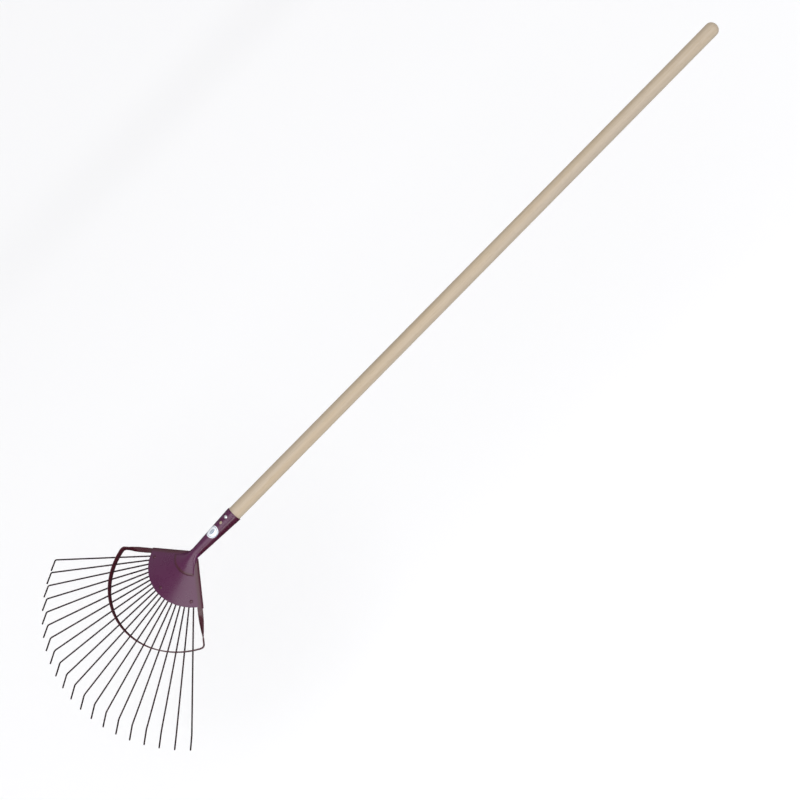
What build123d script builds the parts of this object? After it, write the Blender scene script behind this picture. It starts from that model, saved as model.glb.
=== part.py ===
from build123d import *

import os
from math import atan2, cos, degrees, radians, sin, tan

# Leaf rake: a turned wooden handle in a pressed steel socket, and a fan of spring-wire tines clamped
# between two pressed plates and spread by a strip-steel hoop.
#
# The origin is on the handle's axis at the socket's mouth. +X runs along the handle towards the tines,
# +Z is the rake's upper side, and XZ is its plane of symmetry. The fan is part of a cone: every tine is
# one ray of it, the middle of the fan is in line with the handle, and the cone's axis leans back.

# Handle
handle_diameter = 28.0
handle_length = 1370.0
handle_insert = 82.0
handle_tenon_diameter = 18.6
butt_rounding = 12.5

# Socket
socket_wall = 1.5
socket_play = 0.1
socket_length = 98.0
seam_width = 1.6
nail_place = 14.0
nail_shank_diameter = 3.2
nail_head_diameter = 7.0
nail_head_height = 1.8
nail_rounding = 1.44
nail_depth = 18.0
nail_play = 0.1
spare_hole_place = 28.5
spare_hole_diameter = 6.6
label_place = 52.0
label_diameter = 25.0
label_thickness = 0.2

# Fan
apex_place = 108.0
fan_lean = 22.0
sheet = 1.5
plate_start = 8.0
plate_reach = 100.0
plate_edge_lip = 2.2
back_start = 50.0
back_margin = 4.0
back_setback = 2.0
leg_margin = 3.0
foot_reach = 42.0
foot_half_width = 33.0
foot_rise = 2.4
tail_width_share = 0.46
tail_height_share = 0.80
cutter_half_turn = 88.0

# Tines
tine_count = 20
tine_step = 5.36
tine_diameter = 3.0
tine_hidden_start = 57.0
tine_reach = 333.0
tine_bend_radius = 9.0
hook_outwards = 10.2
hook_forwards = 20.8
hook_drop = 26.8

# Hoop
band_width = 10.0
band_thickness = 2.4
band_play = 0.3
hoop_reach = 194.0
corner_reach = 175.5
leg_turn = 58.4
leg_start = 20.0
hem_start = 9.0
hem_reach = 103.0
hem_lip = 5.5
twist_start = 108.0
twist_end = 160.0
corner_run = 7.0
twist_steps = 8
corner_steps = 4
arc_steps = 24
tine_hole_play = 0.15
tine_hole_margin = 20.0

# Rivets through the two plates
rivet_reach = 89.0
rivet_shank_diameter = 3.0
rivet_head_diameter = 6.6
rivet_head_height = 1.3
rivet_head_taper = 30.0
rivet_play = 0.1
rivet_seat = 0.05

# The share of a wall or radius that a rounding may take at most
most_rounding = 0.9

handle_radius = handle_diameter / 2
butt_fillet = min(butt_rounding, handle_radius * most_rounding)
head_fillet = min(nail_rounding, nail_head_height * most_rounding)
tine_radius = tine_diameter / 2
cap_level = tine_radius + sheet
nail_tip = handle_radius - nail_depth
half_turn = tine_step * (tine_count - 1) / 2
leg_half_room = band_width / 2 + band_play
# The tines start where they clear the legs of the hoop
leg_clear_start = (leg_half_room + tine_radius) / sin(radians(leg_turn - half_turn))
tine_start = max(tine_hidden_start, leg_clear_start)
apex = Vector(apex_place, 0, 0)
spread_axis = Axis(apex, (-sin(radians(fan_lean)), 0, cos(radians(fan_lean))))
tine_turns = [tine_step * number - half_turn for number in range(tine_count)]
rivet_turns = [tine_step / 2 - half_turn, 0, half_turn - tine_step / 2]


def along(turn):
    """The direction of the ray that stands at this turn about the cone's axis."""
    return Vector(1, 0, 0).rotate(spread_axis, turn)


def outwards(turn):
    """The cone's outward normal along that ray, +Z in the middle of the fan."""
    return Vector(0, 0, 1).rotate(spread_axis, turn)


def on_fan(reach, turn):
    """A point of the cone, by its distance from the apex and its turn."""
    return apex + along(turn) * reach


def ray_plane(turn):
    """The plane that holds a ray and the cone's normal: x along the ray, y outwards."""
    return Plane(origin=apex, x_dir=along(turn), z_dir=along(turn).cross(outwards(turn)))


def across_plane(reach, turn):
    """The plane square to a ray: x outwards from the cone, z along the ray."""
    return Plane(origin=on_fan(reach, turn), x_dir=outwards(turn), z_dir=along(turn))


def sector_section(start, reach, low, high, half):
    """The section of a sheet that covers a sector of the cone, standing at the sector's right side.
    Its inner edge is parallel to the cone's axis, so that it may start at the apex."""
    lean = tan(radians(fan_lean))
    with BuildSketch(ray_plane(-half)) as section:
        Polygon(
            (start - low * lean, low),
            (reach, low),
            (reach, high),
            (start - high * lean, high),
            align=None,
        )
    return section.sketch


def add_sector(start, reach, low, high, half, mode=Mode.ADD):
    """Revolves that section about the cone's axis to the sector's left side."""
    section = sector_section(start, reach, low, high, half)
    revolve(section, axis=spread_axis, revolution_arc=2 * half, mode=mode)


def finish(builder, label):
    """Labels a finished piece and writes it."""
    builder.part.label = label
    export_step(builder.part, "parts/" + label + ".step")


def bore_radius(place):
    """The socket's inside radius at a distance from its mouth: it follows the tapered tenon."""
    taper = (handle_radius - handle_tenon_diameter / 2) / handle_insert
    return handle_radius + socket_play - taper * place


def oval(place, half_width, half_height):
    """One oval section of the socket's tail, square to the handle's axis."""
    with BuildSketch(Plane.YZ.offset(place)) as section:
        Ellipse(half_width, half_height)
    return section.sketch


def tail_sections(inset):
    """The socket's tail from its round neck to its wide flat foot, shrunk by inset all round."""
    neck = bore_radius(socket_length) + socket_wall
    foot_place = apex_place + foot_reach
    middle = (socket_length + foot_place) / 2
    return [
        oval(socket_length, neck - inset, neck - inset),
        oval(middle, (neck + foot_half_width) * tail_width_share - inset, neck * tail_height_share - inset),
        oval(foot_place, foot_half_width - inset, cap_level + foot_rise - inset),
    ]


def cone_profile(extra):
    """Half of the socket's tube as a solid section, extra thick outside its bore."""
    with BuildSketch(Plane.XZ) as section:
        Polygon(
            (0, 0),
            (0, bore_radius(0) + extra),
            (socket_length, bore_radius(socket_length) + extra),
            (socket_length, 0),
            align=None,
        )
    return section.sketch


os.makedirs("parts", exist_ok=True)

# Handle: a cylinder with a domed butt, a tapered tenon in the socket, and the nail's hole
with BuildPart() as handle:
    with BuildSketch(Plane.XZ):
        Polygon(
            (handle_insert, 0),
            (handle_insert, handle_tenon_diameter / 2),
            (0, handle_radius),
            (handle_insert - handle_length, handle_radius),
            (handle_insert - handle_length, 0),
            align=None,
        )
    revolve(axis=Axis.X)
    fillet(handle.faces().sort_by(Axis.X)[0].edges(), butt_fillet)
    with BuildSketch(Plane.XY.offset(handle_diameter)):
        with Locations((nail_place, 0)):
            Circle(nail_shank_diameter / 2 + nail_play)
    extrude(amount=nail_tip - nail_play - handle_diameter, mode=Mode.SUBTRACT)
finish(handle, "handle")

# Socket: a tapered tube with a seam beneath, opened out into a foot that lies on the fan's cap
with BuildPart(mode=Mode.PRIVATE) as hollow:
    revolve(cone_profile(0), axis=Axis.X)
    loft(tail_sections(socket_wall))
with BuildPart() as socket:
    revolve(cone_profile(socket_wall), axis=Axis.X)
    loft(tail_sections(0))
    add(hollow.part, mode=Mode.SUBTRACT)
    # What lies below the cap is cut away, and the foot ends on an arc about the apex
    with BuildSketch(Plane.XY):
        with Locations((apex_place - plate_edge_lip, 0)):
            Rectangle(foot_reach * 2, foot_half_width * 3, align=(Align.MIN, Align.CENTER))
    extrude(amount=-handle_diameter, mode=Mode.SUBTRACT)
    add_sector(0, foot_reach * 2, -handle_radius, cap_level, cutter_half_turn, Mode.SUBTRACT)
    add_sector(foot_reach, foot_reach * 2, 0, handle_diameter, cutter_half_turn, Mode.SUBTRACT)
    # The seam, and the two holes on the top
    with BuildSketch(Plane.XY):
        Rectangle(apex_place * 2, seam_width)
    extrude(amount=-handle_diameter, mode=Mode.SUBTRACT)
    with BuildSketch(Plane.XY):
        with Locations((nail_place, 0)):
            Circle(nail_shank_diameter / 2 + nail_play)
        with Locations((spare_hole_place, 0)):
            Circle(spare_hole_diameter / 2)
    extrude(amount=handle_diameter, mode=Mode.SUBTRACT)
finish(socket, "socket")

# Nail: a domed head on the socket and a shank in the handle
head_seat = bore_radius(nail_place - nail_head_diameter / 2) + socket_wall
with BuildPart() as socket_nail:
    with BuildSketch(Plane.XY.offset(head_seat)):
        with Locations((nail_place, 0)):
            Circle(nail_head_diameter / 2)
    extrude(amount=nail_head_height)
    fillet(socket_nail.faces().sort_by(Axis.Z)[-1].edges(), head_fillet)
    with BuildSketch(Plane.XY.offset(head_seat)):
        with Locations((nail_place, 0)):
            Circle(nail_shank_diameter / 2)
    extrude(amount=nail_tip - head_seat)
finish(socket_nail, "socket_nail")

# Label: a round sticker that follows the socket's taper
with BuildPart() as socket_label:
    with BuildSketch(Plane.XY):
        with Locations((label_place, 0)):
            Circle(label_diameter / 2)
    extrude(amount=handle_diameter)
    revolve(cone_profile(socket_wall + label_thickness), axis=Axis.X, mode=Mode.INTERSECT)
    revolve(cone_profile(socket_wall), axis=Axis.X, mode=Mode.SUBTRACT)
finish(socket_label, "socket_label")


def hem_section(side):
    """The folded edge of the cap round one leg: a C that opens towards the tines. The side is 1 or -1."""
    outer = leg_half_room + sheet
    outline = [
        (-leg_half_room, cap_level),
        (outer, cap_level),
        (outer, -cap_level),
        (outer - hem_lip, -cap_level),
        (outer - hem_lip, -tine_radius),
        (leg_half_room, -tine_radius),
        (leg_half_room, tine_radius),
        (-leg_half_room, tine_radius),
    ]
    with BuildSketch(across_plane(hem_start, side * leg_turn)) as section:
        Polygon(*[(level, -side * lateral) for lateral, level in outline], align=None)
    return section.sketch


def rivet_holes():
    """The holes of the rivets, through both plates."""
    for turn in rivet_turns:
        with BuildSketch(Plane(origin=on_fan(rivet_reach, turn), z_dir=outwards(turn))) as hole:
            Circle(rivet_shank_diameter / 2 + rivet_play)
        extrude(hole.sketch, amount=cap_level * 2, both=True, mode=Mode.SUBTRACT)


# Cap: the upper plate, with a hem folded round each leg of the hoop
with BuildPart() as fan_cap:
    add_sector(plate_start, plate_reach, tine_radius, cap_level, leg_turn - leg_margin)
    for side in (-1, 1):
        with BuildSketch(across_plane(0, side * leg_turn)):
            Rectangle(tine_diameter, 2 * leg_half_room)
        extrude(amount=hem_reach, mode=Mode.SUBTRACT)
    for side in (-1, 1):
        extrude(hem_section(side), amount=hem_reach - hem_start)
    rivet_holes()
finish(fan_cap, "fan_cap")

# Back plate: it clamps the tines from below, between the two hems
back_half_turn = half_turn + back_margin / 2
with BuildPart() as back_plate:
    add_sector(back_start, plate_reach - back_setback, -cap_level, -tine_radius, back_half_turn)
    rivet_holes()
finish(back_plate, "back_plate")

# Rivets: between the outer pairs of tines and in the middle
for number, turn in enumerate(rivet_turns, 1):
    with BuildPart() as rivet:
        with BuildSketch(Plane(origin=on_fan(rivet_reach, turn), z_dir=outwards(turn))):
            Circle(rivet_shank_diameter / 2)
        extrude(amount=cap_level + rivet_seat, both=True)
        for side in (1, -1):
            level = on_fan(rivet_reach, turn) + outwards(turn) * (side * (cap_level + rivet_seat))
            with BuildSketch(Plane(origin=level, z_dir=outwards(turn) * side)):
                Circle(rivet_head_diameter / 2)
            extrude(amount=rivet_head_height, taper=rivet_head_taper)
    finish(rivet, f"plate_rivet_{number}")

# Tines: each a ray of the cone, bent near its end so that all the tips point the same way
for number, turn in enumerate(tine_turns, 1):
    bend = on_fan(tine_reach, turn)
    tip = bend + along(turn) * hook_outwards + Vector(hook_forwards, 0, -hook_drop)
    with BuildPart() as tine:
        with BuildLine() as wire:
            FilletPolyline(on_fan(tine_start, turn), bend, tip, radius=tine_bend_radius)
        with BuildSketch(across_plane(tine_start, turn)):
            Circle(tine_radius)
        sweep(path=wire.line)
    finish(tine, f"tine_{number:02d}")


def turn_of(point):
    """The turn about the cone's axis at which a point stands."""
    arm = point - apex
    lean = radians(fan_lean)
    return degrees(atan2(arm.Y, arm.X * cos(lean) + arm.Z * sin(lean)))


def band_section(point, tangent, width_direction):
    """The strip's section, square to its path, with its width as near the given direction as it can be."""
    with BuildSketch(Plane(origin=point, x_dir=width_direction, z_dir=tangent)) as section:
        Rectangle(band_width, band_thickness)
    return section.sketch


def leg_sections(side):
    """One leg, flat in its hem and then twisted until it stands on edge.
    The strip runs from side 1 to side -1."""
    turn = side * leg_turn
    sideways = outwards(turn).cross(along(turn)) * side
    sections = [band_section(on_fan(leg_start, turn), along(turn) * side, sideways)]
    for step in range(twist_steps + 1):
        share = step / twist_steps
        point = on_fan(twist_start + (twist_end - twist_start) * share, turn)
        lean = radians(90 * share)
        width_direction = sideways * cos(lean) + outwards(turn) * sin(lean)
        sections.append(band_section(point, along(turn) * side, width_direction))
    return sections[::side]


def corner_sections(side, arc_end):
    """The bend between leg and arc, on a short curve about the point where the two would meet."""
    corner = on_fan(corner_reach, side * leg_turn)
    leg_end = on_fan(corner_reach - corner_run, side * leg_turn)
    sections = []
    for step in range(corner_steps):
        share = step / corner_steps
        point = leg_end * (1 - share) ** 2 + corner * (2 * share * (1 - share)) + arc_end * share**2
        tangent = (corner - leg_end) * (1 - share) + (arc_end - corner) * share
        sections.append(band_section(point, tangent * side, outwards(turn_of(point))))
    return sections[::side]


# Hoop: one strip, flat in both hems, twisted on edge, bent at two corners and round the tines
hoop_arc = ThreePointArc(
    on_fan(corner_reach, leg_turn),
    on_fan(hoop_reach, 0),
    on_fan(corner_reach, -leg_turn),
)
bend_share = corner_run / hoop_arc.length
arc_sections = []
for step in range(arc_steps + 1):
    share = bend_share + (1 - 2 * bend_share) * step / arc_steps
    point = hoop_arc.position_at(share)
    arc_sections.append(band_section(point, hoop_arc.tangent_at(share), outwards(turn_of(point))))
near_bend = corner_sections(1, hoop_arc.position_at(bend_share))
far_bend = corner_sections(-1, hoop_arc.position_at(1 - bend_share))
with BuildPart() as hoop:
    loft(leg_sections(1) + near_bend + arc_sections + far_bend + leg_sections(-1), ruled=True)
    for turn in tine_turns:
        with BuildSketch(across_plane(corner_reach - tine_hole_margin, turn)):
            Circle(tine_radius + tine_hole_play)
        extrude(amount=hoop_reach - corner_reach + 2 * tine_hole_margin, mode=Mode.SUBTRACT)
finish(hoop, "hoop")
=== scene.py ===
# %% [markdown]
# # A leaf rake
# The rake is a turned wooden handle in a rolled steel socket. The socket opens out into a foot on a fan of
# twenty spring-wire tines, which two pressed plates clamp and a strip-steel hoop spreads.
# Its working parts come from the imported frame. This lesson remakes them as finished meshes in the same
# places and gives each one its material.

import math

import bmesh
import bpy
from mathutils import Matrix, Vector, noise


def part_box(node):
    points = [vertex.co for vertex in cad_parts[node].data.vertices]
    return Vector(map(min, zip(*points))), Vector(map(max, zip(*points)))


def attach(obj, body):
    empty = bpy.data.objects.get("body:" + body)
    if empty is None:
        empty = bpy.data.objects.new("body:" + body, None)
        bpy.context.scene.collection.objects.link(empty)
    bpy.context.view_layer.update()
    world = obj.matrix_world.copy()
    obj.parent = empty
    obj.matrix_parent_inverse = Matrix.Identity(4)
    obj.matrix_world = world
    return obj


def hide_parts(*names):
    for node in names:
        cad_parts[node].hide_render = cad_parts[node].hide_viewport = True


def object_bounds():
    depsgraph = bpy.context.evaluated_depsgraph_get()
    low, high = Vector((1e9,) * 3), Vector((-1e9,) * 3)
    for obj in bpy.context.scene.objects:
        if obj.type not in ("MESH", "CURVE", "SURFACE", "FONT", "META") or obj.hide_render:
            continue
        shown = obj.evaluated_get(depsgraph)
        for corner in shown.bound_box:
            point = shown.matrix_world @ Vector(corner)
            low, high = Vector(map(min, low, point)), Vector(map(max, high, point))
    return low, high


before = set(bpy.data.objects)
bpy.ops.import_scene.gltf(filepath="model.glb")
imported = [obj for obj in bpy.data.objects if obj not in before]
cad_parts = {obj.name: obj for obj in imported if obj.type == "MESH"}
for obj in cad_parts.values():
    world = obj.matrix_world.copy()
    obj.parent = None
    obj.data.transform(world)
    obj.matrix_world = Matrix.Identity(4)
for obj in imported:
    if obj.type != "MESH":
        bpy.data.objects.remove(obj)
cad_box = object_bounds()
print("nodes", len(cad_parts), "box", [tuple(round(v, 4) for v in corner) for corner in cad_box])

# %% [markdown]
# ## The view
# The rake is seen from above and from its +Y side, by a long lens, so that the handle runs up one diagonal.
# The camera's place, its line of sight and its upward direction say all of that.

# %% The camera
view_place = Vector((-0.4117, 1.4745, 2.6247))
view_forward = Vector((0.0133, -0.4688, -0.8832)).normalized()
view_up = Vector((-0.7119, -0.6247, 0.3209))
view_right = view_forward.cross(view_up).normalized()
view_up = view_right.cross(view_forward)
camera_data = bpy.data.cameras.new("camera")
camera_data.sensor_width = 36.0
camera_data.lens = 72.0
camera = bpy.data.objects.new("camera", camera_data)
turned = Matrix((view_right, view_up, -view_forward)).transposed().to_4x4()
camera.matrix_world = Matrix.Translation(view_place) @ turned
bpy.context.scene.collection.objects.link(camera)
bpy.context.scene.camera = camera
bpy.context.scene.view_settings.view_transform = "Standard"
print("camera", round((view_place - cad_box[1]).length, 2), "m from the tines")

# %% [markdown]
# ## Small tools for meshes
# Every piece below is points and faces, sometimes finished by modifiers. A modifier's result is kept as a
# plain mesh, its doubled points are merged, and only its real corners stay sharp.

# %% Helpers for meshes
def link_piece(name, mesh):
    """Puts a mesh into the scene as an object at the origin."""
    piece = bpy.data.objects.new(name, mesh)
    bpy.context.scene.collection.objects.link(piece)
    return piece


def mesh_piece(name, points, faces):
    """A new object from a list of points and a list of faces."""
    mesh = bpy.data.meshes.new(name)
    mesh.from_pydata([tuple(point) for point in points], [], faces)
    return link_piece(name, mesh)


def grid_faces(rows, columns, wrap=False):
    """The faces between rows of points, each row joined to the next one."""
    faces = []
    for row in range(rows - 1):
        for column in range(columns if wrap else columns - 1):
            here = row * columns + column
            beside = row * columns + (column + 1) % columns
            faces.append((here, beside, beside + columns, here + columns))
    return faces


def flipped(faces):
    """The same faces seen from their other side. Solidify needs them to face out of the sheet."""
    return [tuple(reversed(face)) for face in faces]


def settle(piece):
    """Turns what the modifiers show into the piece's own plain mesh."""
    bpy.context.view_layer.update()
    shown = piece.evaluated_get(bpy.context.evaluated_depsgraph_get())
    mesh = bpy.data.meshes.new_from_object(shown)
    piece.modifiers.clear()
    piece.data = mesh
    mesh.name = piece.name


def soften(piece, corner=math.radians(38)):
    """Merges doubled points, turns faces outwards, and shades all but real corners smoothly."""
    shape = bmesh.new()
    shape.from_mesh(piece.data)
    bmesh.ops.remove_doubles(shape, verts=shape.verts, dist=2e-6)
    bmesh.ops.recalc_face_normals(shape, faces=shape.faces)
    for face in shape.faces:
        face.smooth = True
    for edge in shape.edges:
        edge.smooth = edge.calc_face_angle(0.0) < corner
    shape.to_mesh(piece.data)
    shape.free()
    print(piece.name, len(piece.data.polygons), "faces")


def lathe(name, profile, segments, placing):
    """A closed turned shape about local Z. The profile is (height, radius), with no radius at its ends."""
    points = [placing @ Vector((0, 0, profile[0][0]))]
    for height, radius in profile[1:-1]:
        for step in range(segments):
            angle = math.tau * step / segments
            points.append(placing @ Vector((radius * math.cos(angle), radius * math.sin(angle), height)))
    points.append(placing @ Vector((0, 0, profile[-1][0])))
    rings = len(profile) - 2
    faces = [tuple(corner + 1 for corner in face) for face in grid_faces(rings, segments, wrap=True)]
    last_ring = 1 + (rings - 1) * segments
    for step in range(segments):
        after = (step + 1) % segments
        faces.append((0, 1 + after, 1 + step))
        faces.append((len(points) - 1, last_ring + step, last_ring + after))
    return mesh_piece(name, points, faces)


quarter = math.pi / 2


def ease(share):
    """0 to 1 with a slow start and a slow end."""
    share = min(max(share, 0.0), 1.0)
    return share * share * (3 - 2 * share)


# %% [markdown]
# ## The studio
# A painted tool shows its shape by what it reflects: a broad soft light above it, a pale room round it, and
# a dark lower half that keeps its sides deep. The floor lies well below the rake, so that the shadows of
# twenty thin wires blur away, and it lights the rake from below without showing in the paint.

# %% Floor and lights
floor_drop = 0.55
floor_size = 14.0
bpy.ops.mesh.primitive_plane_add(size=floor_size, location=(0, 0, cad_box[0].z - floor_drop))
floor = bpy.context.object
floor.name = "floor"
floor.visible_glossy = False


def sun(name, towards, strength, softness):
    """A soft distant light that shines from the given direction."""
    data = bpy.data.lights.new(name, "SUN")
    data.energy = strength
    data.angle = math.radians(softness)
    lamp = bpy.data.objects.new(name, data)
    lamp.rotation_euler = Vector(towards).to_track_quat("Z", "Y").to_euler()
    bpy.context.scene.collection.objects.link(lamp)


def strip(name, place, aim, width, height, power):
    """A long rectangular light whose reflection draws a line along a curved surface."""
    data = bpy.data.lights.new(name, "AREA")
    data.shape = "RECTANGLE"
    data.size = width
    data.size_y = height
    data.energy = power
    lamp = bpy.data.objects.new(name, data)
    lamp.location = place
    lamp.rotation_euler = (Vector(place) - Vector(aim)).to_track_quat("Z", "Y").to_euler()
    lamp.visible_camera = False
    bpy.context.scene.collection.objects.link(lamp)


sun("overhead", towards=(-0.03, 0.30, 0.95), strength=1.75, softness=62)
strip("side_strip", place=(0.05, 3.0, 1.38), aim=(0.05, 0, 0), width=3.4, height=0.14, power=30)


# %% Helpers for node trees
def put(tree, kind, inputs=None, **settings):
    """Adds a node. Settings are its own options; inputs are values or other nodes' outputs."""
    node = tree.nodes.new(kind)
    for name, value in settings.items():
        setattr(node, name, value)
    for name, value in (inputs or {}).items():
        if isinstance(value, bpy.types.NodeSocket):
            tree.links.new(value, node.inputs[name])
        else:
            node.inputs[name].default_value = value
    return node


def reckon(tree, operation, first, second=0.5, third=0.5):
    """One sum on numbers; its result."""
    return put(tree, "ShaderNodeMath", {0: first, 1: second, 2: third}, operation=operation).outputs[0]


def vector_sum(tree, operation, first, second=(0.0, 0.0, 0.0)):
    """One sum on vectors; its result."""
    return put(tree, "ShaderNodeVectorMath", {0: first, 1: second}, operation=operation).outputs["Vector"]


def rescale(tree, value, low, high, new_low=0.0, new_high=1.0):
    """A value carried from one range to another, and held inside it."""
    inputs = {"Value": value, "From Min": low, "From Max": high, "To Min": new_low, "To Max": new_high}
    return put(tree, "ShaderNodeMapRange", inputs).outputs[0]


def blend_colours(tree, share, first, second):
    """A mix of two colours."""
    node = put(tree, "ShaderNodeMix", data_type="RGBA")
    for socket, value in ((node.inputs[0], share), (node.inputs[6], first), (node.inputs[7], second)):
        if isinstance(value, bpy.types.NodeSocket):
            tree.links.new(value, socket)
        else:
            socket.default_value = value
    return node.outputs[2]


# %% The room
room = bpy.data.worlds.new("room")
room.use_nodes = True
bpy.context.scene.world = room
room_tree = room.node_tree
room_direction = put(room_tree, "ShaderNodeTexCoord").outputs["Generated"]
room_height = put(room_tree, "ShaderNodeSeparateXYZ", {0: room_direction}).outputs[2]
room_ramp = put(room_tree, "ShaderNodeValToRGB", {0: rescale(room_tree, room_height, -1.0, 1.0)})
room_levels = [(0.47, 0.03), (0.55, 0.55), (0.70, 0.62), (0.86, 0.40), (1.0, 0.40)]
for place, level in room_levels[1:-1]:
    room_ramp.color_ramp.elements.new(place)
for element, (place, level) in zip(room_ramp.color_ramp.elements, room_levels):
    element.position = place
    element.color = (level * 0.97, level * 0.97, level, 1)
room_tree.links.new(room_ramp.outputs[0], room_tree.nodes["Background"].inputs[0])

# %% [markdown]
# ## Effects that several finishes share
# Sprayed enamel, dipped lacquer and vinyl all have a faint orange-peel skin, and everything that is handled
# has cloudy patches where it is a little duller. Each effect is one node group, with its scale as an input.

# %% Shared shader groups
def shader_group(name, inputs, outputs):
    """An empty group with number inputs, given as name and default, and named outputs with their types."""
    group = bpy.data.node_groups.new(name, "ShaderNodeTree")
    for label, default in inputs.items():
        socket = group.interface.new_socket(label, in_out="INPUT", socket_type="NodeSocketFloat")
        socket.default_value = default
    for label, kind in outputs.items():
        group.interface.new_socket(label, in_out="OUTPUT", socket_type=kind)
    return group, group.nodes.new("NodeGroupInput"), group.nodes.new("NodeGroupOutput")


def object_point(tree):
    """Where a surface point is on the object, in metres."""
    return put(tree, "ShaderNodeTexCoord").outputs["Object"]


peel, peel_in, peel_out = shader_group("orange_peel", {"Cells": 700.0}, {"Height": "NodeSocketFloat"})
peel_inputs = {"Vector": object_point(peel), "Scale": peel_in.outputs["Cells"],
               "Detail": 2.0, "Roughness": 0.45}
peel_noise = put(peel, "ShaderNodeTexNoise", peel_inputs)
peel.links.new(peel_noise.outputs[0], peel_out.inputs["Height"])

marks, marks_in, marks_out = shader_group("handling_marks", {"Patches": 30.0, "Cover": 0.5},
                                          {"Mask": "NodeSocketFloat"})
marks_noise = put(marks, "ShaderNodeTexNoise", {"Vector": object_point(marks), "Detail": 6.0,
                                                "Scale": marks_in.outputs["Patches"], "Roughness": 0.62})
marks_edge = reckon(marks, "SUBTRACT", 1.0, marks_in.outputs["Cover"])
marks_over = reckon(marks, "SUBTRACT", marks_noise.outputs[0], marks_edge)
marks.links.new(rescale(marks, marks_over, -0.12, 0.16), marks_out.inputs["Mask"])


def use_group(tree, group, **values):
    """Places a shared group in a material, with its own values, and returns its first output."""
    node = put(tree, "ShaderNodeGroup", node_tree=group)
    for label, value in values.items():
        node.inputs[label].default_value = value
    return node.outputs[0]


def new_material(name, **constants):
    """A material and its Principled shader, with the values that are the same all over it."""
    material = bpy.data.materials.new(name)
    material.use_nodes = True
    shader = material.node_tree.nodes["Principled BSDF"]
    for label, value in constants.items():
        shader.inputs[label.replace("_", " ")].default_value = value
    return material, material.node_tree, shader


def relief(tree, shader, height, depth, strength=1.0):
    """Bump of a real depth, in metres, on the whole surface."""
    bump = put(tree, "ShaderNodeBump", {"Height": height, "Distance": depth, "Strength": strength})
    tree.links.new(bump.outputs[0], shader.inputs["Normal"])


# %% Floor material
floor_constants = {"Base_Color": (0.93, 0.93, 0.93, 1), "Roughness": 1.0, "Specular_IOR_Level": 0.0}
floor.data.materials.append(new_material("pale_floor", **floor_constants)[0])

# %% [markdown]
# ## Plum enamel
# The head is sprayed plum after it is pressed. Its rolled edges, the socket's sides and foot rim, the hoop,
# the rivets and the back plate are painted darker and redder, towards maroon, as painted shade. An
# attribute on each enamelled mesh says how much of that painted shade each point gets.

# %% Enamel
# plum is the enamel's own colour. maroon is painted shade: the colour its shaded edges and sides are
# painted.
plum = (0.078, 0.0080, 0.051, 1)
shade_maroon = (0.052, 0.0042, 0.011, 1)
dust_colour = (0.30, 0.26, 0.26, 1)


def enamel(name, open_colour, shade_colour):
    """Semi-gloss enamel that turns from its own colour to a painted shade colour by a mesh attribute."""
    material, tree, shader = new_material(name, Coat_Weight=0.15, Coat_Roughness=0.12, IOR=1.48)
    shade_share = put(tree, "ShaderNodeAttribute", attribute_name="fold").outputs["Fac"]
    cloud = use_group(tree, marks, Patches=24.0, Cover=0.5)
    dust = use_group(tree, marks, Patches=420.0, Cover=0.40)
    paint = blend_colours(tree, shade_share, open_colour, shade_colour)
    paler = [min(1.0, part * 1.35 + 0.006) for part in open_colour[:3]] + [1]
    clouded = blend_colours(tree, reckon(tree, "MULTIPLY", cloud, 0.22), paint, paler)
    dusted = blend_colours(tree, reckon(tree, "MULTIPLY", dust, 0.05), clouded, dust_colour)
    tree.links.new(dusted, shader.inputs["Base Color"])
    tree.links.new(rescale(tree, reckon(tree, "ADD", cloud, dust), 0.0, 2.0, 0.24, 0.42),
                   shader.inputs["Roughness"])
    relief(tree, shader, use_group(tree, peel, Cells=620.0), 0.00005, 0.5)
    return material


enamel_plate = enamel("enamel_plum", plum, shade_maroon)
# This second enamel is painted shade all over: the same enamel in its shaded maroon, used for the hoop.
enamel_shaded = enamel("enamel_maroon", shade_maroon, shade_maroon)
print("enamels", enamel_plate.name, enamel_shaded.name)

# %% [markdown]
# ## Pale hardwood
# The handle is ash or beech, turned and sanded and left bare. Its growth rings show as long soft streaks
# along it, its pores as short fine dashes, and a hand has dulled it in patches. Ring and pore patterns are
# noise, drawn out along X by a Mapping node.

# %% Wood
def stretched(tree, along_scale, across_scale):
    """Object coordinates drawn out along the handle."""
    scale = (along_scale, across_scale, across_scale)
    return put(tree, "ShaderNodeMapping", {"Vector": object_point(tree), "Scale": scale}).outputs[0]


def streaks(tree, along_scale, across_scale, detail):
    """Noise in long streaks; its value."""
    inputs = {"Vector": stretched(tree, along_scale, across_scale), "Scale": 1.0, "Detail": detail,
              "Roughness": 0.6, "Distortion": 0.25}
    return put(tree, "ShaderNodeTexNoise", inputs).outputs[0]


wood, wood_tree, wood_shader = new_material("bare_hardwood", IOR=1.45)
rings = streaks(wood_tree, 1.6, 150.0, 4.0)
fibres = streaks(wood_tree, 14.0, 900.0, 3.0)
pores = rescale(wood_tree, streaks(wood_tree, 55.0, 1500.0, 2.0), 0.60, 0.72)
tones = rescale(wood_tree, streaks(wood_tree, 0.9, 26.0, 2.0), 0.30, 0.70)
hands = use_group(wood_tree, marks, Patches=16.0, Cover=0.47)
pale_wood = (0.550, 0.450, 0.325, 1)
warm_wood = (0.495, 0.385, 0.255, 1)
grey_wood = (0.430, 0.378, 0.328, 1)
dark_wood = (0.250, 0.185, 0.115, 1)
ground = blend_colours(wood_tree, rescale(wood_tree, rings, 0.36, 0.66), pale_wood, warm_wood)
ground = blend_colours(wood_tree, reckon(wood_tree, "MULTIPLY", tones, 0.55), ground, grey_wood)
ground = blend_colours(wood_tree, rescale(wood_tree, fibres, 0.55, 0.80, 0.0, 0.30), ground, dark_wood)
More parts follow.
